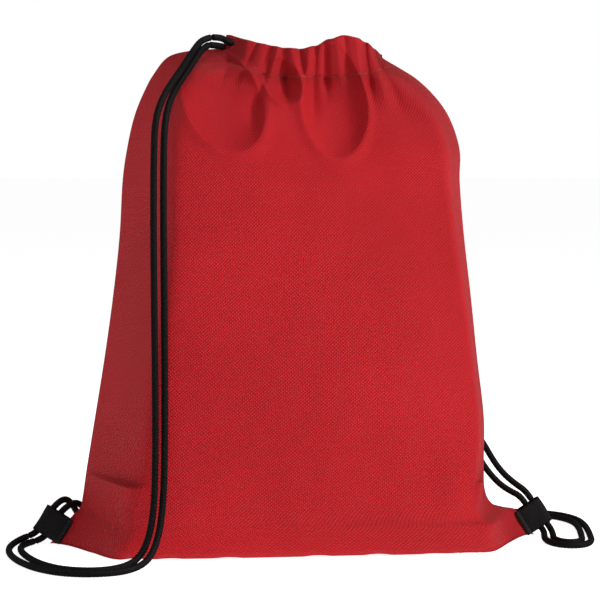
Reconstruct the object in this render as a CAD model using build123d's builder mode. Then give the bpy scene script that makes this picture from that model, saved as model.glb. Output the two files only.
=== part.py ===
from build123d import *

import os
from math import asin, cos, degrees, pi, radians, sin, tan

# Drawstring backpack, standing stuffed on its base.  Millimetres, +Z up, front towards -Y,
# origin on the ground under the middle of the bag.

# ---- driving dimensions ----
CLOTH = 1.0  # wall of the bag: the cloth and the loft of its creases
HEM_BOTTOM = 302.0  # where the gathered channel starts
HEM_HEIGHT = 29.0
HEM_CENTRE_X = 7.0  # the gathered mouth sits a little right of the middle
HEM_HALF_WIDTH = 50.0
HEM_END_Y = 8.0  # from the mouth's middle line to the channel's centre line, at its ends
HEM_MIDDLE_Y = 20.0  # and at its middle, where the mouth stands open
HEM_THICKNESS = 12.0  # the pleats of the gathered channel
CHANNEL_DEPTH = 8.2
CHANNEL_BOTTOM = 316.3
CHANNEL_HEIGHT = 12.7
STITCH_LENGTH = 2.6
STITCH_THREAD = 0.6
STITCH_COUNT = 26
STITCH_HEIGHT = 304.5
SEAM_INSET = 2.5  # from the silhouette to the sewn edge
SEAM_ALLOWANCE = 6.0
SEAM_THICKNESS = 1.2
BOTTOM_SEAM_LENGTH = 280.0
TAB_WIDTH = 18.0
TAB_THICKNESS = 1.2
TAB_GAP = 5.4  # between the two legs of the loop
TAB_OUT = 16.0  # how far the loop stands out of the cut corner
TAB_OVERLAP = 3.0  # how far its legs reach over the corner
TAB_RISE = 33.0  # degrees that the loop points above the ground
TAB_CORNER_Z = 9.6
LEFT_TAB_X = -152.0
RIGHT_TAB_X = 156.0
BARTACK_LENGTH = 15.0
BARTACK_WIDTH = 1.8
BARTACK_THREAD = 0.5
CORD_D = 4.2
KNOT_LENGTH = 17.0
KNOT_D = 12.6
TIP_LENGTH = 15.0
TIP_SPACING = 5.2

# Half outline of the bag at each height:
# height, half width, half depth, squareness of the plan, power of its ends, middle in x
SECTIONS = [
    (0.0, 160.3, 66.0, 6.0, 1.40, 1.9),
    (10.0, 153.8, 67.0, 6.0, 1.35, 1.9),
    (22.0, 140.5, 68.0, 6.0, 1.20, -3.5),
    (45.0, 131.5, 69.0, 5.5, 0.90, -4.5),
    (90.0, 127.0, 70.0, 5.0, 0.60, -2.5),
    (130.0, 121.5, 71.0, 4.7, 0.52, -1.6),
    (170.0, 117.0, 71.0, 4.5, 0.50, -1.0),
    (210.0, 114.0, 69.5, 4.3, 0.50, -0.6),
    (240.0, 110.5, 66.0, 4.0, 0.50, 0.0),
    (260.0, 104.5, 59.5, 3.5, 0.50, 1.2),
    (275.0, 96.0, 50.0, 3.0, 0.50, 3.0),
    (290.0, 80.5, 35.5, 2.6, 0.50, 5.0),
    (302.0, 62.0, 20.0, 2.2, 0.50, 7.0),
]
SECTION_STEPS = (-1.0, -0.97, -0.9, -0.75, -0.4, 0.0, 0.4, 0.75, 0.9, 0.97, 1.0)

# ---- cord routes, chosen by hand ----
# Each strap is one cord doubled: two strands from the channel's end down to the corner loop.
LEFT_FRONT_STRAND = [
    (-53.6, -11.84, 328.08),
    (-59.5, -14.2, 326.9),
    (-65.5, -25.0, 319.6),
    (-72.0, -40.0, 309.6),
    (-80.0, -57.0, 298.6),
    (-87.5, -68.5, 287.0),
    (-92.2, -73.6, 273.0),
    (-93.0, -75.0, 250.0),
    (-93.4, -75.8, 215.0),
    (-93.2, -76.2, 165.0),
    (-92.8, -77.0, 110.0),
    (-92.9, -78.4, 66.0),
    (-93.8, -80.5, 38.0),
    (-97.0, -84.0, 18.0),
    (-104.0, -89.5, 5.6),
    (-116.0, -97.0, 2.15),
    (-131.0, -102.5, 2.15),
    (-147.0, -98.0, 2.15),
    (-160.0, -84.0, 2.15),
    (-170.0, -62.0, 2.15),
    (-176.4, -38.0, 2.15),
    (-177.8, -20.0, 2.15),
    (-174.0, -7.6, 2.2),
    (-168.6, -3.6, 2.9),
]
LEFT_REAR_STRAND = [
    (-55.1, -11.6, 323.3),
    (-59.18, -16.56, 321.14),
    (-63.6, -24.6, 315.4),
    (-69.4, -35.0, 306.6),
    (-77.0, -49.5, 296.0),
    (-83.0, -62.5, 285.0),
    (-86.2, -69.6, 271.0),
    (-87.0, -71.8, 248.0),
    (-87.2, -73.0, 214.0),
    (-87.0, -73.5, 164.0),
    (-86.8, -74.4, 109.0),
    (-87.2, -76.2, 65.0),
    (-88.4, -79.5, 37.0),
    (-91.8, -86.0, 17.0),
    (-98.6, -96.5, 5.2),
    (-112.0, -107.0, 2.15),
    (-131.0, -112.5, 2.15),
    (-150.0, -107.5, 2.15),
    (-165.5, -92.0, 2.15),
    (-177.0, -69.0, 2.15),
    (-184.0, -43.0, 2.15),
    (-185.0, -22.0, 2.8),
    (-178.2, -6.8, 4.9),
    (-172.9, -3.2, 6.2),
]
RIGHT_FRONT_STRAND = [
    (68.0, 12.2, 319.6),
    (73.5, 14.4, 318.8),
    (80.5, 26.0, 311.0),
    (87.0, 43.0, 301.0),
    (93.0, 59.0, 289.0),
    (97.6, 69.5, 275.0),
    (99.8, 74.0, 261.0),
    (100.6, 76.0, 238.0),
    (101.0, 77.0, 205.0),
    (101.8, 77.2, 160.0),
    (104.8, 75.2, 118.0),
    (111.4, 67.5, 92.0),
    (120.0, 54.0, 77.0),
    (127.6, 38.0, 67.5),
    (132.6, 23.0, 57.6),
    (137.4, 14.5, 47.4),
    (143.4, 9.4, 39.4),
    (150.2, 4.8, 33.6),
    (156.4, 0.0, 29.4),
    (160.2, 0.0, 23.5),
]
RIGHT_REAR_STRAND = [
    (69.3, 12.0, 315.2),
    (73.38, 17.12, 312.48),
    (77.8, 26.0, 306.4),
    (83.4, 39.0, 297.6),
    (89.4, 53.0, 285.6),
    (93.2, 63.5, 272.0),
    (94.8, 69.4, 258.0),
    (95.3, 71.8, 236.0),
    (95.5, 73.0, 203.0),
    (96.1, 73.4, 157.0),
    (98.8, 72.0, 115.0),
    (105.6, 64.0, 88.0),
    (115.0, 50.0, 71.0),
    (122.6, 35.0, 60.0),
    (128.0, 21.5, 50.0),
    (133.4, 13.0, 40.6),
    (139.8, 8.0, 33.4),
    (146.4, 4.2, 29.0),
    (152.6, 0.0, 26.24),
    (156.2, 0.0, 20.8),
]
# The tails go on through the corner loop and back behind the bag to their knot.
LEFT_FRONT_TAIL = [
    (-168.6, -3.6, 2.9),
    (-163.2, 0.4, 3.6),
    (-157.7, -0.3, 12.6),
    (-151.6, 0.4, 21.6),
    (-143.8, 8.0, 26.2),
    (-138.0, 21.5, 21.5),
    (-134.0, 36.0, 12.0),
    (-131.4, 51.0, 6.5),
]
LEFT_REAR_TAIL = [
    (-172.9, -3.2, 6.2),
    (-167.6, 0.4, 7.5),
    (-162.1, -0.1, 16.2),
    (-156.1, 0.6, 25.2),
    (-149.5, 9.5, 28.6),
    (-145.0, 24.0, 22.5),
    (-141.0, 39.0, 12.0),
    (-136.0, 52.5, 7.0),
]
RIGHT_FRONT_TAIL = [
    (156.2, 0.0, 20.8),
    (161.1, 0.0, 13.4),
    (165.6, -0.5, 6.6),
    (167.4, -6.0, 3.0),
    (165.4, -15.5, 2.15),
    (163.0, -28.0, 2.15),
    (163.8, -40.5, 2.15),
    (169.6, -49.6, 2.15),
    (178.8, -52.4, 2.15),
    (187.0, -47.0, 2.15),
    (192.2, -36.0, 2.15),
    (195.4, -20.0, 2.15),
    (199.0, 1.0, 2.15),
    (201.8, 22.0, 2.15),
    (202.0, 42.0, 2.15),
    (196.5, 59.0, 2.15),
    (184.5, 71.0, 2.15),
    (169.0, 77.0, 2.15),
    (154.0, 76.4, 3.2),
    (141.5, 73.0, 5.6),
]
RIGHT_REAR_TAIL = [
    (160.2, 0.0, 23.5),
    (164.9, 0.0, 16.2),
    (169.4, -0.6, 9.4),
    (172.4, -6.0, 4.2),
    (171.6, -14.5, 2.2),
    (169.2, -25.0, 2.15),
    (170.6, -34.6, 2.15),
    (175.6, -40.4, 2.15),
    (182.2, -39.8, 2.15),
    (186.6, -33.2, 2.15),
    (189.0, -22.0, 2.15),
    (192.6, -4.0, 2.15),
    (195.8, 15.0, 2.15),
    (197.0, 33.0, 2.15),
    (193.5, 49.0, 2.15),
    (184.0, 61.0, 2.15),
    (169.5, 69.0, 2.15),
    (154.5, 70.4, 3.4),
    (141.5, 69.4, 6.6),
]
# Inside the hems each cord runs once round the mouth, in at one side and out beside itself.
LEFT_CHANNEL_RUN = [
    (-53.5, -11.8, 328.1),
    (-48.0, -9.6, 329.2),
    (-42.0, -9.0, 326.2),
    (-34.0, -12.4, 325.6),
    (-20.0, -17.5, 325.6),
    (7.0, -20.8, 325.6),
    (36.0, -16.9, 325.6),
    (54.0, -10.6, 325.6),
    (64.5, -5.6, 325.6),
    (64.5, 5.6, 325.6),
    (54.0, 10.6, 325.6),
    (36.0, 16.9, 325.6),
    (7.0, 20.8, 325.6),
    (-20.0, 17.4, 325.6),
    (-33.0, 13.0, 325.6),
    (-42.5, 8.4, 325.8),
    (-48.6, 1.6, 326.6),
    (-50.0, -5.4, 326.0),
    (-55.1, -11.6, 323.3),
]
RIGHT_CHANNEL_RUN = [
    (68.0, 12.2, 319.6),
    (62.5, 10.0, 320.4),
    (56.5, 9.2, 320.6),
    (48.0, 12.4, 320.6),
    (34.0, 17.5, 320.6),
    (7.0, 20.8, 320.6),
    (-22.0, 16.9, 320.6),
    (-40.0, 10.6, 320.6),
    (-50.5, 5.6, 320.6),
    (-50.5, -5.6, 320.6),
    (-40.0, -10.6, 320.6),
    (-22.0, -16.9, 320.6),
    (7.0, -20.8, 320.6),
    (34.0, -17.4, 320.6),
    (47.0, -13.0, 320.6),
    (56.5, -8.4, 320.6),
    (62.6, -1.6, 320.2),
    (64.2, 5.6, 318.6),
    (69.3, 12.0, 315.2),
]
LEFT_KNOT_AT = (-131.0, 59.0, 6.5)
LEFT_KNOT_TURN = 100.0  # degrees of its long axis from +X
RIGHT_KNOT_AT = (133.0, 71.0, 6.5)
RIGHT_KNOT_TURN = 176.0

os.makedirs("parts", exist_ok=True)


def save(finished, name):
    finished.part.label = name
    export_step(finished.part, f"parts/{name}.step")


# ---- the two panels ----


def outline_points(section, inset):
    """The front half of one height's outline, from the left edge to the right."""
    height, half_width, half_depth, squareness, power, middle = section
    half_width -= inset
    half_depth -= inset
    points = []
    for step in SECTION_STEPS:
        depth = half_depth * (1 - abs(step) ** squareness) ** power
        points.append((middle + step * half_width, -depth))
    return points


with BuildPart() as front_panel:
    for inset, mode in ((0, Mode.ADD), (CLOTH, Mode.SUBTRACT)):
        for section in SECTIONS:
            with BuildSketch(Plane.XY.offset(max(section[0], inset))):
                with BuildLine():
                    outline = outline_points(section, inset)
                    Spline(*outline)
                    Line(outline[-1], outline[0])
                make_face()
        loft(ruled=True, mode=mode)
save(front_panel, "front_panel")

with BuildPart() as back_panel:
    add(front_panel.part.mirror(Plane.XZ))
save(back_panel, "back_panel")

# ---- the channel round the mouth ----
HEM_SAG = HEM_MIDDLE_Y - HEM_END_Y
HEM_RADIUS = (HEM_HALF_WIDTH**2 + HEM_SAG**2) / (2 * HEM_SAG)
HEM_CENTRE_Y = HEM_RADIUS - HEM_MIDDLE_Y
HEM_HALF_ANGLE = degrees(asin(HEM_HALF_WIDTH / HEM_RADIUS))


def hem_band(thickness):
    """Draws the front channel's plan: an arc band through its ends and its middle."""
    with BuildLine() as plan:
        arcs = []
        for radius in (HEM_RADIUS - thickness / 2, HEM_RADIUS + thickness / 2):
            arc = CenterArc((HEM_CENTRE_X, HEM_CENTRE_Y), radius, -90 - HEM_HALF_ANGLE, 2 * HEM_HALF_ANGLE)
            arcs.append(arc)
        Line(arcs[0] @ 0, arcs[1] @ 0)
        Line(arcs[0] @ 1, arcs[1] @ 1)
    make_face(plan.edges())


with BuildPart() as front_hem:
    with BuildSketch(Plane.XY.offset(HEM_BOTTOM)):
        hem_band(HEM_THICKNESS)
    extrude(amount=HEM_HEIGHT)
    with BuildSketch(Plane.XY.offset(CHANNEL_BOTTOM)):
        hem_band(CHANNEL_DEPTH)
    extrude(amount=CHANNEL_HEIGHT, mode=Mode.SUBTRACT)
save(front_hem, "front_hem")

with BuildPart() as back_hem:
    add(front_hem.part.mirror(Plane.XZ))
save(back_hem, "back_hem")

STITCH_RADIUS = HEM_RADIUS + HEM_THICKNESS / 2 + STITCH_THREAD / 2
with BuildPart() as front_hem_stitching:
    for number in range(STITCH_COUNT):
        share = (number + 0.5) / STITCH_COUNT
        angle = -90 - HEM_HALF_ANGLE + 2 * HEM_HALF_ANGLE * share
        x = HEM_CENTRE_X + STITCH_RADIUS * cos(radians(angle))
        y = HEM_CENTRE_Y + STITCH_RADIUS * sin(radians(angle))
        with Locations(Location((x, y, STITCH_HEIGHT), (0, 0, angle + 90))):
            Box(STITCH_LENGTH, STITCH_THREAD, STITCH_THREAD)
save(front_hem_stitching, "front_hem_stitching")

with BuildPart() as back_hem_stitching:
    add(front_hem_stitching.part.mirror(Plane.XZ))
save(back_hem_stitching, "back_hem_stitching")

# ---- the sewn edges inside ----
for name, side in (("left_side_seam", -1), ("right_side_seam", 1)):
    edge = []
    for height, half_width, half_depth, squareness, power, middle in SECTIONS:
        height = min(max(height, 2 * CLOTH), HEM_BOTTOM - CLOTH)
        edge.append((middle + side * (half_width - SEAM_INSET), height))
    with BuildPart() as side_seam:
        with BuildSketch(Plane.XZ):
            with BuildLine():
                inner_edge = [(x - side * SEAM_ALLOWANCE, z) for x, z in reversed(edge)]
                Polyline(*edge, *inner_edge, close=True)
            make_face()
        extrude(amount=SEAM_THICKNESS / 2, both=True)
    save(side_seam, name)

with BuildPart() as bottom_seam:
    with BuildSketch(Plane.XY.offset(CLOTH)):
        Rectangle(BOTTOM_SEAM_LENGTH, SEAM_THICKNESS)
    extrude(amount=SEAM_ALLOWANCE)
save(bottom_seam, "bottom_seam")

# ---- the corner loops and their bartacks ----
TAB_STRAIGHT = TAB_OUT - TAB_GAP / 2 - TAB_THICKNESS  # where the loop's round end starts


def tab_plane(corner_x, side):
    """A plane on the cut corner: x out along the loop, z up along the cut."""
    out = (side * cos(radians(TAB_RISE)), 0, sin(radians(TAB_RISE)))
    along = (-side * sin(radians(TAB_RISE)), 0, cos(radians(TAB_RISE)))
    return Plane(origin=(corner_x, 0, TAB_CORNER_Z), x_dir=out, z_dir=along)


def loop_profile(half_gap, mode):
    """Draws one face of the folded webbing: two legs and the round end."""
    with Locations((-TAB_OVERLAP, 0)):
        Rectangle(TAB_OVERLAP + TAB_STRAIGHT, 2 * half_gap, align=(Align.MIN, Align.CENTER), mode=mode)
    with Locations((TAB_STRAIGHT, 0)):
        Circle(half_gap, mode=mode)


for name, corner_x, side in (("left", LEFT_TAB_X, -1), ("right", RIGHT_TAB_X, 1)):
    corner = tab_plane(corner_x, side)
    with BuildPart() as corner_tab:
        with BuildSketch(corner):
            loop_profile(TAB_GAP / 2 + TAB_THICKNESS, Mode.ADD)
            loop_profile(TAB_GAP / 2, Mode.SUBTRACT)
        extrude(amount=TAB_WIDTH / 2, both=True)
    save(corner_tab, f"{name}_corner_tab")

    with BuildPart() as tab_bartack:
        with BuildSketch(corner):
            leg_face = TAB_GAP / 2 + TAB_THICKNESS + BARTACK_THREAD / 2
            with Locations((-TAB_OVERLAP / 2, leg_face), (-TAB_OVERLAP / 2, -leg_face)):
                Rectangle(BARTACK_WIDTH, BARTACK_THREAD)
        extrude(amount=BARTACK_LENGTH / 2, both=True)
    save(tab_bartack, f"{name}_tab_bartack")

# ---- the cords ----


def corner_radii(points):
    """As large an arc at each point as its two runs allow."""
    radii = []
    for before, point, after in zip(points, points[1:], points[2:]):
        run_in = Vector(*point) - Vector(*before)
        run_out = Vector(*after) - Vector(*point)
        turn = radians(run_in.get_angle(run_out))
        radii.append(0.45 * min(run_in.length, run_out.length) / tan(turn / 2))
    return radii


CORDS = {
    "left_strap_front_strand": LEFT_FRONT_STRAND,
    "left_strap_rear_strand": LEFT_REAR_STRAND,
    "right_strap_front_strand": RIGHT_FRONT_STRAND,
    "right_strap_rear_strand": RIGHT_REAR_STRAND,
    "left_cord_front_tail": LEFT_FRONT_TAIL,
    "left_cord_rear_tail": LEFT_REAR_TAIL,
    "right_cord_front_tail": RIGHT_FRONT_TAIL,
    "right_cord_rear_tail": RIGHT_REAR_TAIL,
    "left_cord_channel_run": LEFT_CHANNEL_RUN,
    "right_cord_channel_run": RIGHT_CHANNEL_RUN,
}
for name, points in CORDS.items():
    radii = corner_radii(points)
    with BuildPart() as cord:
        with BuildLine() as route:
            FilletPolyline(*points, radius=radii)
        with BuildSketch(Plane(origin=route.line @ 0, z_dir=route.line % 0)):
            Circle(CORD_D / 2)
        sweep()
    save(cord, name)
    length = sum(edge.length for edge in route.edges())
    share = cord.part.volume / (pi * (CORD_D / 2) ** 2 * length)
    print(f"{name}: {length:.1f} long, volume {share:.4f} of section x length")
    print("   radii", [round(radius, 1) for radius in radii])

for name, place, turn in (
    ("left", LEFT_KNOT_AT, LEFT_KNOT_TURN),
    ("right", RIGHT_KNOT_AT, RIGHT_KNOT_TURN),
):
    along_knot = Plane(Location(place, (0, 0, turn)))
    with BuildPart() as knot:
        with BuildSketch(along_knot):
            Ellipse(KNOT_LENGTH / 2, KNOT_D / 2)
            with Locations((0, -KNOT_D)):
                Rectangle(2 * KNOT_LENGTH, 2 * KNOT_D, mode=Mode.SUBTRACT)
        revolve(axis=Axis(along_knot.origin, along_knot.x_dir))
    save(knot, f"{name}_knot")

    with BuildPart() as cord_tips:
        ground_line = Plane(Location((place[0], place[1], CORD_D / 2 + 0.1), (0, 0, turn)))
        knot_end = Plane(
            ground_line.from_local_coords((KNOT_LENGTH / 2, 0, 0)),
            x_dir=ground_line.y_dir,
            z_dir=ground_line.x_dir,
        )
        with BuildSketch(knot_end):
            with GridLocations(TIP_SPACING, TIP_SPACING, 2, 1):
                Circle(CORD_D / 2)
        extrude(amount=TIP_LENGTH)
    save(cord_tips, f"{name}_cord_tips")
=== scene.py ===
import math

import bmesh
import bpy
import numpy as np
from mathutils import Matrix, Vector, noise


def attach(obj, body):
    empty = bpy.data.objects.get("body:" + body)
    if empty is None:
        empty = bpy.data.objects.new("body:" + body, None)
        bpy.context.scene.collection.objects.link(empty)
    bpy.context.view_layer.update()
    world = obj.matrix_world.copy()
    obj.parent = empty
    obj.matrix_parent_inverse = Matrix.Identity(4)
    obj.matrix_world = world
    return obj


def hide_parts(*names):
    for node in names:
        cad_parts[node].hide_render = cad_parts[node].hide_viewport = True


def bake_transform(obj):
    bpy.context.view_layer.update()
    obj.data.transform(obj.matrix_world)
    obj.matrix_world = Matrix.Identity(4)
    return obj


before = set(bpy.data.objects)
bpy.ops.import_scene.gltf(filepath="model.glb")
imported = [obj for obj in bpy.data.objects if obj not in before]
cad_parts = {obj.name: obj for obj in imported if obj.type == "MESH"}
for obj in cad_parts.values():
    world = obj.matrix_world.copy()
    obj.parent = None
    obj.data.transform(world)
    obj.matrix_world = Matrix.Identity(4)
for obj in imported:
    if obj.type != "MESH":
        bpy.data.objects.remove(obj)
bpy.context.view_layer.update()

MM = 0.001

# ---- driving sizes, metres ----
CORD_D = 4.2 * MM
CLOTH = 0.45 * MM
EMBOSS_PITCH = 2.15 * MM

# ---- the camera: a long lens, a little to the bag's left, just above its middle ----
CAMERA_AZIMUTH = math.radians(-6.0)
CAMERA_DISTANCE = 1.310
CAMERA_HEIGHT = 0.243
CAMERA_PITCH = math.radians(3.7)
CAMERA_ASIDE = 0.0046
CAMERA_LENS = 120.24


def add_camera():
    data = bpy.data.cameras.new("camera")
    data.lens = CAMERA_LENS
    data.sensor_width = 36.0
    camera = bpy.data.objects.new("camera", data)
    right = Vector((math.cos(CAMERA_AZIMUTH), math.sin(CAMERA_AZIMUTH), 0))
    back = Vector((math.sin(CAMERA_AZIMUTH), -math.cos(CAMERA_AZIMUTH), 0))
    camera.location = back * CAMERA_DISTANCE + right * CAMERA_ASIDE + Vector((0, 0, CAMERA_HEIGHT))
    camera.rotation_euler = (math.radians(90) - CAMERA_PITCH, 0, CAMERA_AZIMUTH)
    bpy.context.collection.objects.link(camera)
    bpy.context.scene.camera = camera


add_camera()

# ---- cord routes, listed point by point, metres ----
ROUTES = {
    "left_strap_front_strand": [
        (-0.0536, -0.01184, 0.32808), (-0.0595, -0.0142, 0.3269), (-0.0655, -0.025, 0.3196),
        (-0.072, -0.04, 0.3096), (-0.08, -0.057, 0.2986), (-0.0875, -0.0685, 0.287),
        (-0.0922, -0.0736, 0.273), (-0.093, -0.075, 0.25), (-0.0934, -0.0758, 0.215),
        (-0.0932, -0.0762, 0.165), (-0.0928, -0.077, 0.11), (-0.0929, -0.0784, 0.066),
        (-0.0938, -0.0805, 0.038), (-0.097, -0.084, 0.018), (-0.104, -0.0895, 0.0056),
        (-0.116, -0.097, 0.00215), (-0.131, -0.1025, 0.00215), (-0.147, -0.098, 0.00215),
        (-0.16, -0.084, 0.00215), (-0.17, -0.062, 0.00215), (-0.1764, -0.038, 0.00215),
        (-0.1778, -0.02, 0.00215), (-0.174, -0.0076, 0.0022), (-0.1686, -0.0036, 0.0029),
    ],
    "left_strap_rear_strand": [
        (-0.0551, -0.0116, 0.3233), (-0.05918, -0.01656, 0.32114), (-0.0636, -0.0246, 0.3154),
        (-0.0694, -0.035, 0.3066), (-0.077, -0.0495, 0.296), (-0.083, -0.0625, 0.285),
        (-0.0862, -0.0696, 0.271), (-0.087, -0.0718, 0.248), (-0.0872, -0.073, 0.214),
        (-0.087, -0.0735, 0.164), (-0.0868, -0.0744, 0.109), (-0.0872, -0.0762, 0.065),
        (-0.0884, -0.0795, 0.037), (-0.0918, -0.086, 0.017), (-0.0986, -0.0965, 0.0052),
        (-0.112, -0.107, 0.00215), (-0.131, -0.1125, 0.00215), (-0.15, -0.1075, 0.00215),
        (-0.1655, -0.092, 0.00215), (-0.177, -0.069, 0.00215), (-0.184, -0.043, 0.00215),
        (-0.185, -0.022, 0.0028), (-0.1782, -0.0068, 0.0049), (-0.1729, -0.0032, 0.0062),
    ],
    "right_strap_front_strand": [
        (0.0600, 0.0085, 0.3110), (0.0642, 0.0105, 0.3094), (0.0700, 0.0205, 0.3044),
        (0.078, 0.033, 0.2984), (0.086, 0.0475, 0.2902), (0.093, 0.061, 0.280), (0.0976, 0.0698, 0.270),
        (0.0998, 0.074, 0.261), (0.1006, 0.076, 0.238), (0.101, 0.077, 0.205),
        (0.1018, 0.0772, 0.16), (0.1048, 0.0752, 0.118), (0.1114, 0.0675, 0.092),
        (0.12, 0.054, 0.077), (0.1276, 0.038, 0.0675), (0.1326, 0.023, 0.0576),
        (0.1374, 0.0145, 0.0474), (0.1434, 0.0094, 0.0394), (0.1502, 0.0048, 0.0336),
        (0.1564, 0, 0.0294), (0.1602, 0, 0.0235),
    ],
    "right_strap_rear_strand": [
        (0.0612, 0.0086, 0.3066), (0.0648, 0.0140, 0.3044), (0.0694, 0.0245, 0.2996),
        (0.0766, 0.0370, 0.2934), (0.084, 0.050, 0.285), (0.0895, 0.061, 0.276), (0.0932, 0.0668, 0.2665),
        (0.0948, 0.0694, 0.258), (0.0953, 0.0718, 0.236), (0.0955, 0.073, 0.203),
        (0.0961, 0.0745, 0.157), (0.0988, 0.0755, 0.115), (0.1066, 0.0745, 0.088),
        (0.1172, 0.059, 0.0715), (0.1232, 0.037, 0.06), (0.128, 0.0215, 0.05),
        (0.1334, 0.013, 0.0406), (0.1398, 0.008, 0.0334), (0.1464, 0.0042, 0.029),
        (0.1526, 0, 0.02624), (0.1562, 0, 0.0208),
    ],
    "left_cord_front_tail": [
        (-0.1686, -0.0036, 0.0029), (-0.1632, 0.0004, 0.0036), (-0.1577, -0.0003, 0.0126),
        (-0.1516, 0.0004, 0.0216), (-0.1438, 0.008, 0.0262), (-0.138, 0.0215, 0.0215),
        (-0.134, 0.036, 0.012), (-0.1314, 0.051, 0.0065),
    ],
    "left_cord_rear_tail": [
        (-0.1729, -0.0032, 0.0062), (-0.1676, 0.0004, 0.0075), (-0.1621, -0.0001, 0.0162),
        (-0.1561, 0.0006, 0.0252), (-0.1495, 0.0095, 0.0286), (-0.145, 0.024, 0.0225),
        (-0.141, 0.039, 0.012), (-0.136, 0.0525, 0.007),
    ],
    "right_cord_front_tail": [
        (0.1562, 0, 0.0208), (0.1611, 0, 0.0134), (0.1656, -0.0005, 0.0066),
        (0.1674, -0.006, 0.003), (0.1654, -0.0155, 0.00215), (0.163, -0.028, 0.00215),
        (0.1638, -0.0405, 0.00215), (0.1696, -0.0496, 0.00215), (0.1788, -0.0524, 0.00215),
        (0.187, -0.047, 0.00215), (0.1922, -0.036, 0.00215), (0.1954, -0.02, 0.00215),
        (0.199, 0.001, 0.00215), (0.2018, 0.022, 0.00215), (0.202, 0.042, 0.00215),
        (0.1965, 0.059, 0.00215), (0.1845, 0.071, 0.00215), (0.169, 0.077, 0.00215),
        (0.154, 0.0764, 0.0032), (0.1415, 0.073, 0.0056),
    ],
    "right_cord_rear_tail": [
        (0.1602, 0, 0.0235), (0.1649, 0, 0.0162), (0.1694, -0.0006, 0.0094),
        (0.1724, -0.006, 0.0042), (0.1716, -0.0145, 0.0022), (0.1692, -0.025, 0.00215),
        (0.1706, -0.0346, 0.00215), (0.1756, -0.0404, 0.00215), (0.1822, -0.0398, 0.00215),
        (0.1866, -0.0332, 0.00215), (0.189, -0.022, 0.00215), (0.1926, -0.004, 0.00215),
        (0.1958, 0.015, 0.00215), (0.197, 0.033, 0.00215), (0.1935, 0.049, 0.00215),
        (0.184, 0.061, 0.00215), (0.1695, 0.069, 0.00215), (0.1545, 0.0704, 0.0034),
        (0.1415, 0.0694, 0.0066),
    ],
    "left_cord_channel_run": [
        (-0.0535, -0.0118, 0.3281), (-0.0478, -0.0088, 0.3284), (-0.0430, -0.0040, 0.3262),
        (-0.0440, 0.0016, 0.3222), (-0.0478, -0.0062, 0.3232), (-0.0551, -0.0116, 0.3233),
    ],
    "right_cord_channel_run": [
        (0.0600, 0.0085, 0.3110), (0.0552, 0.0066, 0.3112),
        (0.0538, 0.0010, 0.3078), (0.0556, 0.0046, 0.3076), (0.0612, 0.0086, 0.3066),
    ],
}


# ---- materials ----
def new_material(name):
    material = bpy.data.materials.new(name)
    material.use_nodes = True
    tree = material.node_tree
    return material, tree, tree.nodes["Principled BSDF"]


def math_node(tree, operation, first, second=None):
    node = tree.nodes.new("ShaderNodeMath")
    node.operation = operation
    for socket, value in zip(node.inputs, (first, second)):
        if isinstance(value, (int, float)):
            socket.default_value = value
        elif value is not None:
            tree.links.new(value, socket)
    return node.outputs[0]


def noise_node(tree, vector, scale, detail=3.0):
    node = tree.nodes.new("ShaderNodeTexNoise")
    node.inputs["Scale"].default_value = scale
    node.inputs["Detail"].default_value = detail
    tree.links.new(vector, node.inputs["Vector"])
    return node.outputs["Fac"]


def ramp_node(tree, factor, stops):
    node = tree.nodes.new("ShaderNodeValToRGB")
    ramp = node.color_ramp
    ramp.elements[0].position, ramp.elements[0].color = stops[0]
    ramp.elements[1].position, ramp.elements[1].color = stops[-1]
    for position, color in stops[1:-1]:
        ramp.elements.new(position).color = color
    tree.links.new(factor, node.inputs["Fac"])
    return node.outputs["Color"]


def bump_node(tree, height, distance, strength=1.0, normal=None):
    node = tree.nodes.new("ShaderNodeBump")
    node.inputs["Distance"].default_value = distance
    node.inputs["Strength"].default_value = strength
    tree.links.new(height, node.inputs["Height"])
    if normal is not None:
        tree.links.new(normal, node.inputs["Normal"])
    return node.outputs["Normal"]


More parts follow.
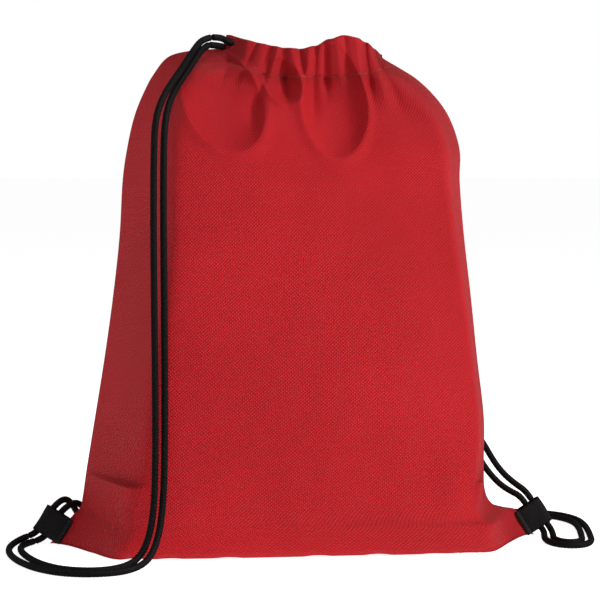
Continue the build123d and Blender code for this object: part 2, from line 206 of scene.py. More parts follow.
def cloth_material():
    """Red non-woven polypropylene: a diagonal grid of bonded points pressed into it, with painted
    highlights on the grid's raised points in its colour.
    """
    material, tree, shader = new_material("red_nonwoven")
    uv = tree.nodes.new("ShaderNodeTexCoord").outputs["UV"]
    apart = tree.nodes.new("ShaderNodeSeparateXYZ")
    tree.links.new(uv, apart.inputs[0])
    turn = math.pi / EMBOSS_PITCH
    across = math_node(tree, "MULTIPLY", apart.outputs["X"], turn)
    up = math_node(tree, "MULTIPLY", apart.outputs["Y"], turn)
    one_way = math_node(tree, "SINE", math_node(tree, "ADD", across, up))
    other_way = math_node(tree, "SINE", math_node(tree, "SUBTRACT", across, up))
    both = math_node(tree, "MULTIPLY", one_way, other_way)
    dimple = math_node(tree, "POWER", math_node(tree, "ABSOLUTE", both), 1.5)
    fibres = noise_node(tree, uv, 900.0, 4.0)
    blotches = noise_node(tree, uv, 9.0, 4.0)
    tint = ramp_node(tree, blotches, [(0.3, (0.44, 0.0035, 0.0085, 1)), (0.7, (0.53, 0.006, 0.0125, 1))])
    # Painted highlight: the grid lightens the base colour on its raised points and darkens it between them.
    grid_painted_highlight = math_node(tree, "MULTIPLY_ADD", dimple, 0.5)
    grid_painted_highlight.node.inputs[2].default_value = 0.8
    mix = tree.nodes.new("ShaderNodeMix")
    mix.data_type = "RGBA"
    mix.blend_type = "MULTIPLY"
    mix.inputs["Factor"].default_value = 1.0
    tree.links.new(tint, mix.inputs["A"])
    tree.links.new(grid_painted_highlight, mix.inputs["B"])
    tree.links.new(mix.outputs["Result"], shader.inputs["Base Color"])
    worn = math_node(tree, "MULTIPLY_ADD", fibres, 0.18)
    worn.node.inputs[2].default_value = 0.42
    tree.links.new(worn, shader.inputs["Roughness"])
    pressed = bump_node(tree, dimple, 0.0004, 1.0)
    rough = bump_node(tree, fibres, 0.00006, 0.5, pressed)
    tree.links.new(rough, shader.inputs["Normal"])
    shader.inputs["Specular IOR Level"].default_value = 0.2
    shader.inputs["Sheen Weight"].default_value = 0.07
    shader.inputs["Sheen Roughness"].default_value = 0.45
    shader.inputs["Sheen Tint"].default_value = (1.0, 0.72, 0.74, 1)
    return material


def thread_material(name, dark, light):
    material, tree, shader = new_material(name)
    place = tree.nodes.new("ShaderNodeTexCoord").outputs["Object"]
    fuzz = noise_node(tree, place, 2200.0, 3.0)
    tree.links.new(ramp_node(tree, fuzz, [(0.3, dark), (0.7, light)]), shader.inputs["Base Color"])
    tree.links.new(bump_node(tree, fuzz, 0.0001), shader.inputs["Normal"])
    shader.inputs["Roughness"].default_value = 0.7
    shader.inputs["Sheen Weight"].default_value = 0.3
    return material


def cord_material():
    """Black braided polyester: the braid is in the mesh, the yarns' filaments are here."""
    material, tree, shader = new_material("black_braid")
    uv = tree.nodes.new("ShaderNodeTexCoord").outputs["UV"]
    yarns = noise_node(tree, uv, 700.0, 4.0)
    tint = ramp_node(tree, yarns, [(0.35, (0.0022, 0.0022, 0.0024, 1)), (0.7, (0.0085, 0.0085, 0.009, 1))])
    tree.links.new(tint, shader.inputs["Base Color"])
    tree.links.new(bump_node(tree, yarns, 0.00008), shader.inputs["Normal"])
    shader.inputs["Roughness"].default_value = 0.62
    shader.inputs["Specular IOR Level"].default_value = 0.12
    return material


def webbing_material():
    """Black woven tape: ribs across, warp yarns along."""
    material, tree, shader = new_material("black_webbing")
    uv = tree.nodes.new("ShaderNodeTexCoord").outputs["UV"]
    apart = tree.nodes.new("ShaderNodeSeparateXYZ")
    tree.links.new(uv, apart.inputs[0])
    rib = math_node(tree, "SINE", math_node(tree, "MULTIPLY", apart.outputs["X"], 2 * math.pi / 0.0011))
    warp = math_node(tree, "SINE", math_node(tree, "MULTIPLY", apart.outputs["Y"], 2 * math.pi / 0.0014))
    weave = math_node(tree, "MULTIPLY", rib, warp)
    fuzz = noise_node(tree, uv, 1500.0, 3.0)
    height = math_node(tree, "ADD", weave, fuzz)
    tint = ramp_node(tree, fuzz, [(0.3, (0.005, 0.005, 0.0055, 1)), (0.75, (0.02, 0.02, 0.021, 1))])
    tree.links.new(tint, shader.inputs["Base Color"])
    tree.links.new(bump_node(tree, height, 0.00014), shader.inputs["Normal"])
    shader.inputs["Roughness"].default_value = 0.75
    shader.inputs["Specular IOR Level"].default_value = 0.12
    return material


CLOTH_LOOK = cloth_material()
RED_THREAD = thread_material("red_thread", (0.30, 0.005, 0.01, 1), (0.5, 0.012, 0.02, 1))
BLACK_THREAD = thread_material("black_thread", (0.004, 0.004, 0.004, 1), (0.02, 0.02, 0.02, 1))
CORD_LOOK = cord_material()
WEBBING_LOOK = webbing_material()


# ---- mesh helpers ----
def mesh_piece(name, vertices, faces, material, uvs=None, smooth=True):
    """A new object from vertices and faces; uvs has one pair for each vertex."""
    mesh = bpy.data.meshes.new(name)
    mesh.from_pydata([tuple(v) for v in vertices], [], faces)
    mesh.materials.append(material)
    if uvs is not None:
        layer = mesh.uv_layers.new(name="UVMap")
        for loop in mesh.loops:
            layer.data[loop.index].uv = uvs[loop.vertex_index]
    mesh.polygons.foreach_set("use_smooth", [smooth] * len(mesh.polygons))
    mesh.update()
    piece = bpy.data.objects.new(name, mesh)
    bpy.context.collection.objects.link(piece)
    return piece


def grid_faces(rows, columns, closed_columns=False):
    faces = []
    last = columns if closed_columns else columns - 1
    for row in range(rows - 1):
        for column in range(last):
            after = (column + 1) % columns
            faces.append((row * columns + column, row * columns + after,
                          (row + 1) * columns + after, (row + 1) * columns + column))
    return faces


def smooth_line(points):
    """Points along the NURBS spline whose control points these are."""
    curve = bpy.data.curves.new("route", "CURVE")
    curve.dimensions = "3D"
    curve.resolution_u = 12
    spline = curve.splines.new("NURBS")
    spline.points.add(len(points) - 1)
    for place, point in zip(spline.points, points):
        place.co = (*point, 1.0)
    spline.order_u = 3
    spline.use_endpoint_u = True
    holder = bpy.data.objects.new("route", curve)
    bpy.context.collection.objects.link(holder)
    bpy.context.view_layer.update()
    mesh = bpy.data.meshes.new_from_object(holder)
    line = [vertex.co.copy() for vertex in mesh.vertices]
    bpy.data.objects.remove(holder)
    bpy.data.curves.remove(curve)
    bpy.data.meshes.remove(mesh)
    return line


def even_line(line, step):
    """The same line with its points one step apart."""
    reach = [0.0]
    for before, after in zip(line, line[1:]):
        reach.append(reach[-1] + (after - before).length)
    count = max(2, round(reach[-1] / step) + 1)
    wanted = np.linspace(0, reach[-1], count)
    columns = [np.interp(wanted, reach, [p[axis] for p in line]) for axis in range(3)]
    return [Vector(p) for p in zip(*columns)], reach[-1]


def line_frames(line):
    """A side and an up direction at each point, turned as little as can be."""
    tangents = []
    for number in range(len(line)):
        ahead = line[min(number + 1, len(line) - 1)]
        behind = line[max(number - 1, 0)]
        tangents.append((ahead - behind).normalized())
    side = tangents[0].orthogonal().normalized()
    frames = []
    for tangent in tangents:
        side = (side - tangent * side.dot(tangent)).normalized()
        frames.append((side, tangent.cross(side), tangent))
    return frames


BRAID_SIDES = 20
BRAID_STEP = 0.55 * MM
BRAID_LAY = 9.0 * MM  # how far a yarn runs along the cord for one turn round it
BRAID_STRANDS = 8


def braided_tube(name, points, radius=CORD_D / 2, step=BRAID_STEP):
    """A braided cord along a route: two sets of yarns that cross, standing out of the surface."""
    line, length = even_line(smooth_line(points), step)
    frames = line_frames(line)
    vertices = []
    uvs = []
    cap = 1.3 * MM
    for number, (place, (side, up, tangent)) in enumerate(zip(line, frames)):
        along = length * number / (len(line) - 1)
        near_end = min(along, length - along)
        closing = 1.0
        if near_end < cap:
            closing = math.sqrt(max(0.0, 1 - (1 - near_end / cap) ** 2)) * 0.75 + 0.25
        for corner in range(BRAID_SIDES):
            angle = 2 * math.pi * corner / BRAID_SIDES
            wind = 2 * math.pi * along / BRAID_LAY
            right = math.cos(BRAID_STRANDS / 2 * (angle + wind))
            left = math.cos(BRAID_STRANDS / 2 * (angle - wind))
            swell = 0.055 * (max(right, left) - 0.5)
            reach = radius * closing * (1.0 + swell)
            vertices.append(place + (side * math.cos(angle) + up * math.sin(angle)) * reach)
            uvs.append((along, radius * angle))
    faces = grid_faces(len(line), BRAID_SIDES, closed_columns=True)
    faces.append(tuple(reversed(range(BRAID_SIDES))))
    last = (len(line) - 1) * BRAID_SIDES
    faces.append(tuple(range(last, last + BRAID_SIDES)))
    piece = mesh_piece(name, vertices, faces, CORD_LOOK, uvs)
    return piece, line, length


# ---- the bag's cloth ----
# Rows of the front panel from the ground up, in millimetres: the row's height at the middle, its left
# and right ends (x, z), the depth of the bag there, how steeply the left and right sides fall away to
# the seam, and how far the flattened corner reaches in.
ROWS = [
    (0.6, -159.0, 0.6, 161.5, 0.6, 66.0, 1.45, 1.55, 9.0),
    (4.0, -156.0, 4.0, 158.6, 4.0, 67.0, 1.45, 1.6, 8.0),
    (10.0, -151.0, 10.5, 154.0, 9.5, 67.5, 1.55, 1.8, 7.0),
    (18.0, -144.2, 18.8, 148.6, 17.6, 68.0, 1.7, 2.2, 6.0),
    (24.0, -139.4, 24.0, 135.0, 20.5, 68.5, 1.8, 2.8, 2.0),
    (32.0, -137.6, 32.0, 128.6, 30.0, 69.0, 1.9, 3.4, 1.0),
    (50.0, -135.0, 50.0, 127.6, 50.0, 69.5, 2.0, 4.0, 0.0),
    (80.0, -130.0, 80.0, 127.4, 80.0, 70.0, 2.1, 4.4, 0.0),
    (120.0, -123.4, 120.0, 122.6, 120.0, 70.5, 2.2, 4.6, 0.0),
    (160.0, -117.6, 160.0, 118.2, 160.0, 70.5, 2.2, 4.4, 0.0),
    (200.0, -113.0, 200.0, 113.4, 200.0, 69.0, 2.2, 4.0, 0.0),
    (235.0, -110.8, 236.0, 110.4, 235.0, 65.5, 2.2, 3.6, 0.0),
    (256.0, -107.6, 258.0, 110.5, 254.0, 61.0, 2.2, 3.2, 0.0),
    (270.0, -103.2, 277.0, 107.0, 268.5, 55.0, 2.1, 2.8, 0.0),
    (281.0, -97.4, 292.0, 101.0, 281.5, 48.0, 2.0, 2.4, 0.0),
    (289.5, -90.4, 305.0, 92.5, 292.5, 41.5, 1.9, 2.1, 0.0),
    (296.0, -80.5, 316.4, 81.5, 302.6, 35.5, 1.7, 1.9, 0.0),
    (300.5, -64.0, 320.6, 70.5, 309.5, 32.0, 1.5, 1.7, 0.0),
    (304.5, -50.0, 321.6, 64.0, 313.2, 29.5, 1.3, 1.5, 0.0),
    (312.5, -45.5, 324.5, 60.5, 315.2, 25.0, 1.3, 1.4, 0.0),
    (320.6, -43.5, 328.4, 58.5, 316.8, 20.0, 1.3, 1.4, 0.0),
]
ROW_NAMES = ("z", "left_x", "left_z", "right_x", "right_z", "depth", "left_fall", "right_fall", "flat")
HEM_ROW = 17.6  # the stitch line lies here, counted in rows
GATHER_ROW = 11.0  # the gathers begin to draw the rows' ends up here
GATHER_ROWS = 7.0
HEM_FOLD_LIMIT = 3.4  # deeper folds would reach the cords inside
BACK_FOLDS = 0.8  # the back's folds are a little shallower
BACK_LOWER = 2.6  # and its top a little lower
TOP_ROW = len(ROWS) - 1
# The wavy top of the gathered channel: x, and how far it stands above or below its row.
HEM_CREST = [
    (-46, 0.0), (-40, 1.6), (-30, 1.2), (-20, 0.6), (-8, -0.6), (4, -1.0), (13, 1.0), (22, 5.4),
    (32, 8.4), (40, 7.4), (47, 5.6), (53, 2.6), (58, 0.0),
]
# Folds that run down from the gathers: their top (x, z) and foot (x, z), depth and half width at the
# top and at the foot.  Negative depth is a ridge.
FOLDS = [
    (-38, 326, -47, 302, 1.8, 1.8, 1.6, 4.0),
    (-31, 323, -35, 300, -1.4, 2.2, -1.6, 4.0),
    (-25, 323, -36, 304, 2.6, 1.5, 2.2, 3.0),
    (-16.5, 321, -27, 283, 5.6, 2.0, 7.0, 5.2),
    (-12.5, 320, -19, 298, -2.4, 1.8, -2.8, 3.0),
    (-7.6, 319, -7.8, 292, 5.6, 1.6, 6.4, 2.4),
    (-3, 320, 1, 299, -1.4, 1.6, -2.6, 3.2),
    (3, 319, 5, 296, 3.8, 1.5, 4.0, 3.2),
    (8, 320, 4, 290, -1.6, 1.8, -2.0, 3.2),
    (13, 322, 9, 282, 3.6, 1.5, 4.4, 4.4),
    (19.5, 326, 19, 298, 5.6, 1.6, 5.6, 2.2),
    (25, 329, 28, 302, -1.4, 2.2, -2.0, 3.6),
    (31, 330, 33, 306, 2.6, 1.5, 2.2, 2.6),
    (38, 329, 41, 292, -1.2, 2.6, -2.4, 4.0),
    (45.5, 324, 46, 294, 5.0, 1.6, 4.4, 2.6),
    (50, 320, 54, 290, -1.4, 2.0, -1.8, 4.0),
    (54, 317, 64, 284, 2.8, 1.8, 2.4, 5.0),
]
# Hollows between the folds, and swells: middle (x, z), half width, half height, depth, and a turn.
HOLLOWS = [
    (-38, 238, 26, 9, -1.6, -0.2),
    (24, 238, 24, 8, -1.6, 0.05),
    (74, 285, 10, 16, 2.6, 0.5),
    (58, 262, 12, 16, -1.6, 0.3),
    (-78, 290, 7, 20, -2.2, -0.7),
    (-95, 215, 9, 42, 1.6, 0.1),
    (88, 205, 18, 60, 1.6, -0.1),
    (-60, 120, 34, 60, -1.6, 0.2),
    (50, 130, 40, 60, -1.4, -0.2),
    (-118, 30, 14, 10, 2.0, 0.5),
    (112, 24, 12, 10, 3.0, -0.6),
    (96, 44, 10, 22, -1.6, 0.3),
]
# Scoops: middle (x, z), half width, reach down, reach up, depth, and lean.
SCOOPS = [
    (-49, 288, 25, 33, 34, 10.0, -0.2),
    (-10, 299, 12, 14.5, 16, 6.5, -0.15),
    (22, 285, 20.5, 34, 34, 9.5, 0.0),
]


def row_values(row):
    """The row table read between its rows by a smooth curve."""
    low = min(int(row), len(ROWS) - 2)
    share = row - low
    before = ROWS[max(low - 1, 0)]
    first, second = ROWS[low], ROWS[low + 1]
    after = ROWS[min(low + 2, len(ROWS) - 1)]
    values = []
    for a, b, c, d in zip(before, first, second, after):
        slope_b = (c - a) / 2
        slope_c = (d - b) / 2
        h00 = 2 * share**3 - 3 * share**2 + 1
        h10 = share**3 - 2 * share**2 + share
        h01 = -2 * share**3 + 3 * share**2
        h11 = share**3 - share**2
        values.append(h00 * b + h10 * slope_b + h01 * c + h11 * slope_c)
    return dict(zip(ROW_NAMES, values))


def soft_least(values, softness):
    """The least of the values, rounded where two of them meet."""
    lowest = min(values)
    total = sum(math.exp(-(value - lowest) / softness) for value in values)
    return lowest - softness * math.log(total)


def side_depth(distance, fall, flat):
    """How deep the bag is at a distance in from its seam."""
    distance = max(distance, 0.0)
    if flat > 0.1:
        inside = distance - flat * (1 - math.exp(-distance / flat))
        return fall * inside * 1.25 + 0.14 * distance
    return fall * distance


def fold_depth(x, z):
    """How far the folds of the gathers push the cloth in."""
    total = 0.0
    for top_x, top_z, foot_x, foot_z, top_depth, top_half, foot_depth, foot_half in FOLDS:
        share = (top_z - z) / (top_z - foot_z)
        if share > 1.6:
            continue
        held = min(max(share, 0.0), 1.0)
        middle = top_x + (foot_x - top_x) * share
        half = top_half + (foot_half - top_half) * max(share, 0.0)
        depth = top_depth + (foot_depth - top_depth) * held
        if share > 1.0:
            depth *= max(0.0, 1 - (share - 1.0) / 0.6) ** 2
        offset = (x - middle) / half
        total += depth * math.exp(-abs(offset) ** 1.6)
    return total


def hollow_depth(x, z):
    """How far the soft hollows push the cloth in."""
    total = 0.0
    for middle_x, middle_z, half_x, half_z, depth, turn in HOLLOWS:
        dx, dz = x - middle_x, z - middle_z
        along = (dx * math.cos(turn) + dz * math.sin(turn)) / half_x
        up = (-dx * math.sin(turn) + dz * math.cos(turn)) / half_z
        total += depth * math.exp(-(along**2 + up**2))
    return total


def scoop_depth(x, z):
    """Hollows hanging from the stitch line, each with a crisp rounded rim at its lower edge."""
    total = 0.0
    for middle_x, middle_z, half_x, low, high, depth, turn in SCOOPS:
        dx, dz = x - middle_x, z - middle_z
        dx -= dz * turn
        across = dx / half_x
        up = dz / (low if dz < 0 else high)
        reach = math.hypot(across, up)
        if reach > 1.8:
            continue
        inside = max(0.0, 1 - reach**2.2) ** 0.8
        rim = math.exp(-(((reach - 1.05) / 0.16) ** 2)) * (0.2 if dz < 0 else 0.2 * max(0.0, 1 - up))
        total += depth * (inside - rim)
    return total


def crest(x):
    """How far the channel's top stands above its row."""
    for (x0, h0), (x1, h1) in zip(HEM_CREST, HEM_CREST[1:]):
        if x <= x1:
            share = min(max((x - x0) / (x1 - x0), 0.0), 1.0)
            share = share * share * (3 - 2 * share)
            return h0 + (h1 - h0) * share
    return HEM_CREST[-1][1]


def unevenness(x, y, z, size, seed):
    """Smooth noise from about -1 to 1, with lumps of the given size."""
    return noise.noise(Vector((x / size + seed, y / size, z / size - seed)))


def panel_point(u, row, side):
    """A point of the front (side -1) or back (side 1) panel: u from -1 at the left seam to 1."""
    v = row_values(row)
    x = (v["left_x"] + v["right_x"]) / 2 + u * (v["right_x"] - v["left_x"]) / 2
    end_z = v["left_z"] if u < 0 else v["right_z"]
    lift = min(max((row - GATHER_ROW) / GATHER_ROWS, 0.0), 1.0)
    z = v["z"] + (end_z - v["z"]) * abs(u) ** (2.0 + 0.8 * lift)
    middle_bow = 0.035 * ((x - 4.0) / 100.0) ** 2 * v["depth"] * (1 - lift)
    parts = (
        v["depth"] - middle_bow,
        side_depth(x - v["left_x"], v["left_fall"], v["flat"]),
        side_depth(v["right_x"] - x, v["right_fall"], v["flat"]),
    )
    depth = max(soft_least(parts, 4.5 + 2.5 * lift), 0.0)
    edge = min(1.0, min(x - v["left_x"], v["right_x"] - x) / 12.0)
    edge = max(edge, 0.0)
    sign = 1.0 if side < 0 else -1.0
    fold_x = x if side < 0 else 12.0 - x * 0.96
    folds = fold_depth(fold_x, z) * (1.0 if side < 0 else BACK_FOLDS)
    if row > HEM_ROW:
        folds = min(folds, HEM_FOLD_LIMIT)
    loose = folds + hollow_depth(fold_x, z) + scoop_depth(fold_x, z)
    loose += 1.5 * unevenness(x, depth * sign, z, 62.0, 3.1 * sign)
    loose += 0.5 * unevenness(x, depth * sign, z, 21.0, 7.7 * sign)
    loose += 0.12 * unevenness(x, depth * sign, z, 7.0, 1.7)
    top = min(max((row - HEM_ROW) / (TOP_ROW - HEM_ROW), 0.0), 1.0)
    stitched = math.exp(-((row - HEM_ROW) / 0.16) ** 2)
    loose += 0.7 * stitched
    loose -= 0.5 * math.sin(math.pi * top)
    depth -= loose * edge
    z += (crest(x) - (0.0 if side < 0 else BACK_LOWER)) * top * top
    return Vector((x, side * max(depth, 0.0), z))


PANEL_COLUMNS = 261
BOTTOM_STEPS = 26
FRONT_STEPS = 300
ROLL_STEPS = 10
INNER_STEPS = 14
HEM_INSIDE = 9.0  # from the channel's outer face to its inner one
INNER_REACH = 21.0  # how far the channel's inner layer hangs down
PUCKER = 1.7  # how high the bottom seam's puckers lift


def panel_grid(side):
    """Every row of one panel: under the bag, up its face, over the channel's top and down inside."""
    shares = np.linspace(-1, 1, PANEL_COLUMNS)
    us = [math.copysign(abs(s) ** 0.92, s) for s in shares]
    rows = []
    first = [panel_point(u, 0.0, side) for u in us]
    for step in range(BOTTOM_STEPS):
        share = step / BOTTOM_STEPS
        row = []
        for u, edge in zip(us, first):
            depth = abs(edge.y)
            inward = min(1.0, depth / 20.0)
            under = 0.5 * inward * (1 + unevenness(edge.x, depth * share * 2, 0, 30.0, 5.0))
            pucker = PUCKER * max(0.0, unevenness(edge.x, 0, 0, 19.0, 9.0 * side)) * share**6 * inward
            row.append(Vector((edge.x, edge.y * share, 0.55 + 0.3 * under + pucker)))
        rows.append(row)
    for step in range(FRONT_STEPS + 1):
        share = step / FRONT_STEPS
        height = TOP_ROW * (share**1.12)
        row = []
        for u in us:
            point = panel_point(u, height, side)
            inward = min(1.0, abs(point.y) / 20.0)
            low = math.exp(-point.z / 7.0)
            point.z += PUCKER * max(0.0, unevenness(point.x, 0, 0, 19.0, 9.0 * side)) * low * inward
            point.y -= side * 5.0 * low**2 * inward * 0.6
            row.append(point)
        rows.append(row)
    crest_row = rows[-1]
    radius = HEM_INSIDE / 2
    for step in range(1, ROLL_STEPS + 1):
        angle = math.pi * step / ROLL_STEPS
        row = []
        for point in crest_row:
            inward = min(1.0, abs(point.y) / 14.0)
            y = point.y - side * radius * (1 - math.cos(angle)) * inward
            row.append(Vector((point.x, y, point.z + 0.35 * radius * math.sin(angle))))
        rows.append(row)
    inner = rows[-1]
    for step in range(1, INNER_STEPS + 1):
        share = step / INNER_STEPS
        swell = side * 1.5 * math.sin(math.pi * share) * 0.4
        rows.append([Vector((p.x, p.y + swell, p.z - INNER_REACH * share)) for p in inner])
    return rows


def flat_uvs(rows):
    """Places in the flat cut, in metres: every row and column keeps its length in the cloth."""
    middle = len(rows[0]) // 2
    ups = [0.0]
    for before, after in zip(rows, rows[1:]):
        steps = [(after[c] - before[c]).length for c in (middle // 2, middle, middle + middle // 2)]
        ups.append(ups[-1] + sum(steps) / 3)
    wide = rows[len(rows) // 2]
    acrosses = [0.0]
    for before, after in zip(wide, wide[1:]):
        acrosses.append(acrosses[-1] + (after - before).length)
    return [(across * MM, up * MM) for up in ups for across in acrosses]


# ---- cords ----
def knot_points(centre, turn, size):
    """An overhand knot pulled tight: a flattened trefoil, its long way along turn."""
    spin = Matrix.Rotation(turn, 3, "Z")
    points = []
    for number in range(37):
        t = 2 * math.pi * number / 36 * 0.985
        x = (math.sin(t) + 2 * math.sin(2 * t)) / 3
        y = (math.cos(t) - 2 * math.cos(2 * t)) / 3
        z = -math.sin(3 * t)
        points.append(Vector(centre) + spin @ Vector((x * size[0], y * size[1], z * size[2])))
    return points


KNOT_CORD_R = 1.95 * MM  # pulled tight, the cord thins a little
TIP_R = 2.0 * MM
KNOTS = {
    "left": ((-0.131, 0.059, 0.0065), math.radians(100)),
    "right": ((0.133, 0.071, 0.0065), math.radians(176)),
}
for side_name, (centre, turn) in KNOTS.items():
    for number, (grow, lift) in enumerate(((1.0, 0.0), (0.72, 0.0006))):
        size = (0.0056 * grow, 0.0040 * grow, 0.0019)
        place = (centre[0], centre[1], centre[2] + lift)
        points = knot_points(place, turn, size)
        piece, _, _ = braided_tube(f"{side_name}_knot_loop_{number + 1}", points, KNOT_CORD_R)
        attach(piece, "bag")
    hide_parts(f"{side_name}_knot")
    ahead = Vector((math.cos(turn), math.sin(turn), 0))
    across = Vector((-ahead.y, ahead.x, 0))
    for number, way in enumerate((-1, 1)):
        start = Vector(centre) + ahead * 0.006 + across * (way * 0.0024)
        low = CORD_D / 2 + 0.1 * MM
        second = Vector((*(start + ahead * 0.006 + across * (way * 0.0006)).xy, low + 0.0006))
        third = Vector((*(start + ahead * 0.013 + across * (way * 0.0004)).xy, low))
        end = Vector((*(start + ahead * 0.0185 + across * (way * 0.0009)).xy, low))
        start.z = low + 0.003
        points = [start, second, third, end]
        piece, _, _ = braided_tube(f"{side_name}_cord_tip_{number + 1}", points, TIP_R)
        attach(piece, "bag")
    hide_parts(f"{side_name}_cord_tips")


def channel_point(x, side, below):
    """A place for the cord inside the channel, off the cloth's outer layer."""
    ends = row_values(TOP_ROW)
    u = (2 * x - ends["left_x"] - ends["right_x"]) / (ends["right_x"] - ends["left_x"])
    at = panel_point(u, TOP_ROW, side)
    reach = min(1.3 * (x - ends["left_x"]), 1.4 * (ends["right_x"] - x))
    depth = max(soft_least((ends["depth"] + 0.25 * below, reach), 5.0) - 7.2, 2.6)
    return Vector((x, side * depth, at.z - below + (0.0 if side < 0 else BACK_LOWER))) * MM


def through_channel(name, turn_x, xs, below):
    """Front of the channel, round its far end, and back through the rear."""
    points = ROUTES[name]
    first_side = -1 if name.startswith("left") else 1
    outward = [channel_point(x, first_side, below) for x in xs]
    back = [channel_point(x, -first_side, below) for x in reversed(xs)]
    turn_z = channel_point(turn_x, -1, below).z
    turn = [Vector((turn_x * MM, way * 2.6 * MM, turn_z)) for way in (first_side, -first_side)]
    leads = len(points) - 3
    ROUTES[name] = points[:leads] + outward + turn + back + points[leads:]


through_channel("left_cord_channel_run", 52.5, (-34, -24, -12, 0, 12, 24, 36, 46), 4.4)
through_channel("right_cord_channel_run", -39.5, (48, 36, 24, 12, 0, -12, -24, -34), 9.2)

CORD_FACTS = {
    "left_strap_front_strand": ("left_strap", "object", "hanging"),
    "left_strap_rear_strand": ("left_strap", "object", "hanging"),
    "right_strap_front_strand": ("right_strap", "object", "hanging"),
    "right_strap_rear_strand": ("right_strap", "object", "hanging"),
    "left_cord_front_tail": ("bag", "knot", "loose"),
    "left_cord_rear_tail": ("bag", "knot", "loose"),
    "right_cord_front_tail": ("bag", "knot", "loose"),
    "right_cord_rear_tail": ("bag", "knot", "loose"),
}
for name, points in ROUTES.items():
    piece, line, length = braided_tube(f"{name}_braid", points)
    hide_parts(name)
    if name not in CORD_FACTS:
        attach(piece, "bag")
        continue
    body, far_end, lay = CORD_FACTS[name]
    if body == "right_strap":
        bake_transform(piece)
    else:
        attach(piece, body)
    print(name, "smooth length", round(length, 4))


def cloth_panel(name, side):
    """One panel as a thin sheet with its outer face outwards."""
    rows = panel_grid(side)
    columns = len(rows[0])
    vertices = [point * MM for row in rows for point in row]
    faces = grid_faces(len(rows), columns)
    if side > 0:
        faces = [tuple(reversed(face)) for face in faces]
    piece = mesh_piece(name, vertices, faces, CLOTH_LOOK, flat_uvs(rows))
    thick = piece.modifiers.new("cloth", "SOLIDIFY")
    thick.thickness = CLOTH
    thick.offset = -1.0
    return piece


front_cloth = cloth_panel("front_cloth", -1)
back_cloth = cloth_panel("back_cloth", 1)
for piece, name in ((front_cloth, "front"), (back_cloth, "back")):
    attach(piece, "bag")
    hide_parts(f"{name}_panel", f"{name}_hem")
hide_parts("left_side_seam", "right_side_seam", "bottom_seam")


# ---- stitching along the channel ----
STITCH_PITCH = 3.3
STITCH_REACH = 1.15
STITCH_R = 0.28


def thread_piece(name, pairs, radius, material, sag=0.0):
    """Short threads, each a bowed round bar between two points."""
    vertices, faces = [], []
    sides, steps = 6, 5
    for start, end, outward in pairs:
        line = []
        for step in range(steps):
            share = step / (steps - 1)
            bow = outward * (sag * math.sin(math.pi * share))
            line.append(start.lerp(end, share) + bow)
        frames = line_frames(line)
        base = len(vertices)
        for step, (place, (across, up, _)) in enumerate(zip(line, frames)):
            reach = radius * (0.55 if step in (0, steps - 1) else 1.0)
            for corner in range(sides):
                angle = 2 * math.pi * corner / sides
                vertices.append(place + (across * math.cos(angle) + up * math.sin(angle)) * reach)
        faces += [tuple(base + i for i in face) for face in grid_faces(steps, sides, closed_columns=True)]
        faces.append(tuple(base + i for i in reversed(range(sides))))
        faces.append(tuple(base + (steps - 1) * sides + i for i in range(sides)))
    return mesh_piece(name, vertices, faces, material)


def hem_stitches(name, side):
    """The lockstitches that close the channel, lying on the cloth."""
    places = [panel_point(u, HEM_ROW, side) for u in np.linspace(-0.97, 0.97, 600)]
    line, length = even_line(places, STITCH_PITCH)
    pairs = []
    for place, (_, _, tangent) in zip(line[1:-1], line_frames(line)[1:-1]):
        outward = Vector((-tangent.y * side, tangent.x * side, 0)).normalized()
        if outward.y * side < 0:
            outward = -outward
        centre = place + outward * 0.15
        start = (centre - tangent * STITCH_REACH) * MM
        end = (centre + tangent * STITCH_REACH) * MM
        pairs.append((start, end, outward))
    return thread_piece(name, pairs, STITCH_R * MM, RED_THREAD, 0.12 * MM)


for name, side in (("front", -1), ("back", 1)):
    stitches = hem_stitches(f"{name}_hem_lockstitch", side)
    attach(stitches, "bag")
    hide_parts(f"{name}_hem_stitching")


# ---- the corner loops of webbing ----
TAB_WIDTH = 18.0
TAB_OUT = 16.0
TAB_OVERLAP = 4.0
TAB_HALF_GAP = 3.0
TAB_THICKNESS = 1.2
TAB_RISE = math.radians(33.0)
TAB_CORNERS = {"left": (-152.0, -1), "right": (156.0, 1)}


def tab_frame(corner_x, side):
    """Out along the loop, up along the cut, and the corner itself."""
    out = Vector((side * math.cos(TAB_RISE), 0, math.sin(TAB_RISE)))
    along = Vector((-side * math.sin(TAB_RISE), 0, math.cos(TAB_RISE)))
    return out, along, Vector((corner_x, 0, 9.6))


def tab_profile(extra):
    """The folded tape seen from its side: out over one leg, round, and back over the other."""
    reach = TAB_OUT - TAB_HALF_GAP - TAB_THICKNESS
    half = TAB_HALF_GAP + extra
    points = []
    for step in range(15):
        share = step / 14
        pinch = 1.2 * math.exp(-((share * (TAB_OVERLAP + reach) - 2.0) / 3.0) ** 2)
        points.append((-TAB_OVERLAP + share * (TAB_OVERLAP + reach), -half + pinch))
    for step in range(1, 14):
        angle = -math.pi / 2 + math.pi * step / 14
        points.append((reach + half * math.cos(angle), half * math.sin(angle)))
    points += [(n, -y) for n, y in reversed(points[:15])]
    return points


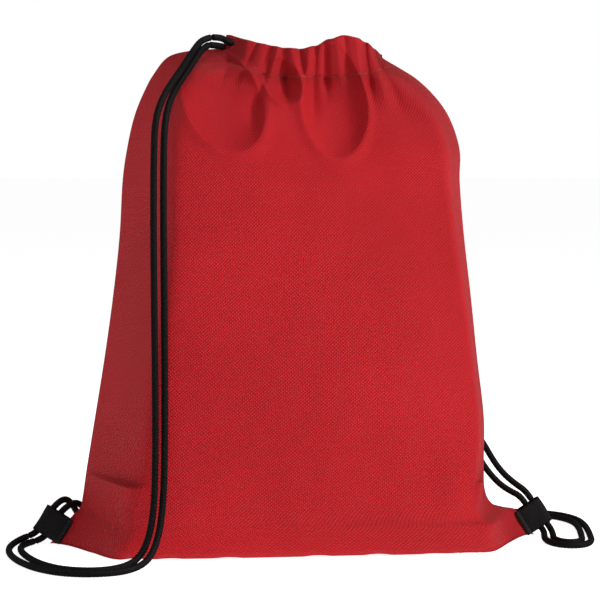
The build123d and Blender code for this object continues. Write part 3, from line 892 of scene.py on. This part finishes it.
def webbing_loop(name, corner_x, side):
    out, along, corner = tab_frame(corner_x, side)
    outer = tab_profile(TAB_THICKNESS)
    inner = tab_profile(0.0)
    columns = 41
    vertices, uvs = [], []
    lines = outer + list(reversed(inner))
    reach = 0.0
    for number, (n, y) in enumerate(lines):
        if number:
            before = lines[number - 1]
            reach += math.hypot(n - before[0], y - before[1])
        for column in range(columns):
            share = column / (columns - 1) * 2 - 1
            edge = 1 - 0.28 * abs(share) ** 14
            mid_y = y * (edge if number < len(outer) else 1.0)
            wave = 0.25 * math.sin(share * 2.4 + side)
            place = corner + out * (n + wave) + along * (share * TAB_WIDTH / 2)
            vertices.append((place + Vector((0, mid_y, 0))) * MM)
            uvs.append((reach * MM, share * TAB_WIDTH / 2 * MM))
    rows = len(lines)
    faces = grid_faces(rows, columns)
    for column in range(columns - 1):
        faces.append(((rows - 1) * columns + column, (rows - 1) * columns + column + 1, column + 1, column))
    count = len(outer)
    for row in range(count - 1):
        opposite = rows - 1 - row
        for column, flip in ((0, False), (columns - 1, True)):
            face = (row * columns + column, (row + 1) * columns + column,
                    (opposite - 1) * columns + column, opposite * columns + column)
            faces.append(tuple(reversed(face)) if flip else face)
    piece = mesh_piece(name, vertices, faces, WEBBING_LOOK, uvs)
    bm = bmesh.new()
    bm.from_mesh(piece.data)
    bmesh.ops.recalc_face_normals(bm, faces=bm.faces)
    bm.to_mesh(piece.data)
    bm.free()
    return piece


def bartack(name, corner_x, side):
    """A close zigzag over both legs, near the cloth's cut corner."""
    out, along, corner = tab_frame(corner_x, side)
    pairs = []
    for face in (-1, 1):
        y = face * (TAB_HALF_GAP + TAB_THICKNESS - 1.0)
        for number in range(26):
            share = number / 25 * 2 - 1
            start = corner + out * -3.0 + along * (share * 8.2) + Vector((0, y, 0))
            end = corner + out * -0.9 + along * ((share + 0.04) * 8.2) + Vector((0, y - face * 0.15, 0))
            pairs.append((start * MM, end * MM, Vector((0, face, 0))))
    return thread_piece(name, pairs, 0.2 * MM, BLACK_THREAD, 0.25 * MM)


for name, (corner_x, side) in TAB_CORNERS.items():
    loop = webbing_loop(f"{name}_webbing_loop", corner_x, side)
    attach(loop, "bag")
    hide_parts(f"{name}_corner_tab")
    tack = bartack(f"{name}_bartack_stitches", corner_x, side)
    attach(tack, "bag")
    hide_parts(f"{name}_tab_bartack")


# ---- floor and light ----
FLOOR_REACH = 60.0  # metres: far enough that its edge is the horizon
FLOOR_GLOW = 0.86
FILL_STRENGTH = 0.13  # the surround as light; to the camera it is white


def add_floor():
    """A white floor that glows a little, so that it meets the white surround without a line."""
    material, tree, shader = new_material("studio_floor")
    shader.inputs["Base Color"].default_value = (0.93, 0.93, 0.93, 1)
    shader.inputs["Roughness"].default_value = 0.9
    shader.inputs["Specular IOR Level"].default_value = 0.1
    shader.inputs["Emission Color"].default_value = (1, 1, 1, 1)
    shader.inputs["Emission Strength"].default_value = FLOOR_GLOW
    mesh = bpy.data.meshes.new("studio_floor")
    r = FLOOR_REACH
    mesh.from_pydata([(-r, -r, 0), (r, -r, 0), (r, r, 0), (-r, r, 0)], [], [(0, 1, 2, 3)])
    mesh.materials.append(material)
    floor = bpy.data.objects.new("studio_floor", mesh)
    bpy.context.collection.objects.link(floor)
    floor.visible_glossy = False


def add_light(name, place, size, power, target=(0, 0, 0.16)):
    data = bpy.data.lights.new(name, "AREA")
    data.shape = "DISK"
    data.size = size
    data.energy = power
    light = bpy.data.objects.new(name, data)
    light.location = place
    light.rotation_euler = (Vector(target) - Vector(place)).to_track_quat("-Z", "Y").to_euler()
    bpy.context.collection.objects.link(light)


def add_world():
    """A white surround for the camera that gives the object a softer, dimmer fill."""
    world = bpy.data.worlds.new("studio")
    world.use_nodes = True
    tree = world.node_tree
    background = tree.nodes["Background"]
    background.inputs["Color"].default_value = (1.0, 1.0, 1.0, 1)
    seen = tree.nodes.new("ShaderNodeLightPath").outputs["Is Camera Ray"]
    strength = tree.nodes.new("ShaderNodeMapRange")
    strength.inputs["To Min"].default_value = FILL_STRENGTH
    strength.inputs["To Max"].default_value = 1.0
    tree.links.new(seen, strength.inputs["Value"])
    tree.links.new(strength.outputs["Result"], background.inputs["Strength"])
    bpy.context.scene.world = world


add_floor()
add_world()
add_light("key", (1.5, -1.0, 1.05), 0.4, 23.0)
add_light("left_fill", (-1.8, 0.1, 0.7), 0.9, 3.5)
add_light("top", (0.3, -0.7, 1.8), 0.5, 8.5)
bpy.context.scene.view_settings.view_transform = "Standard"
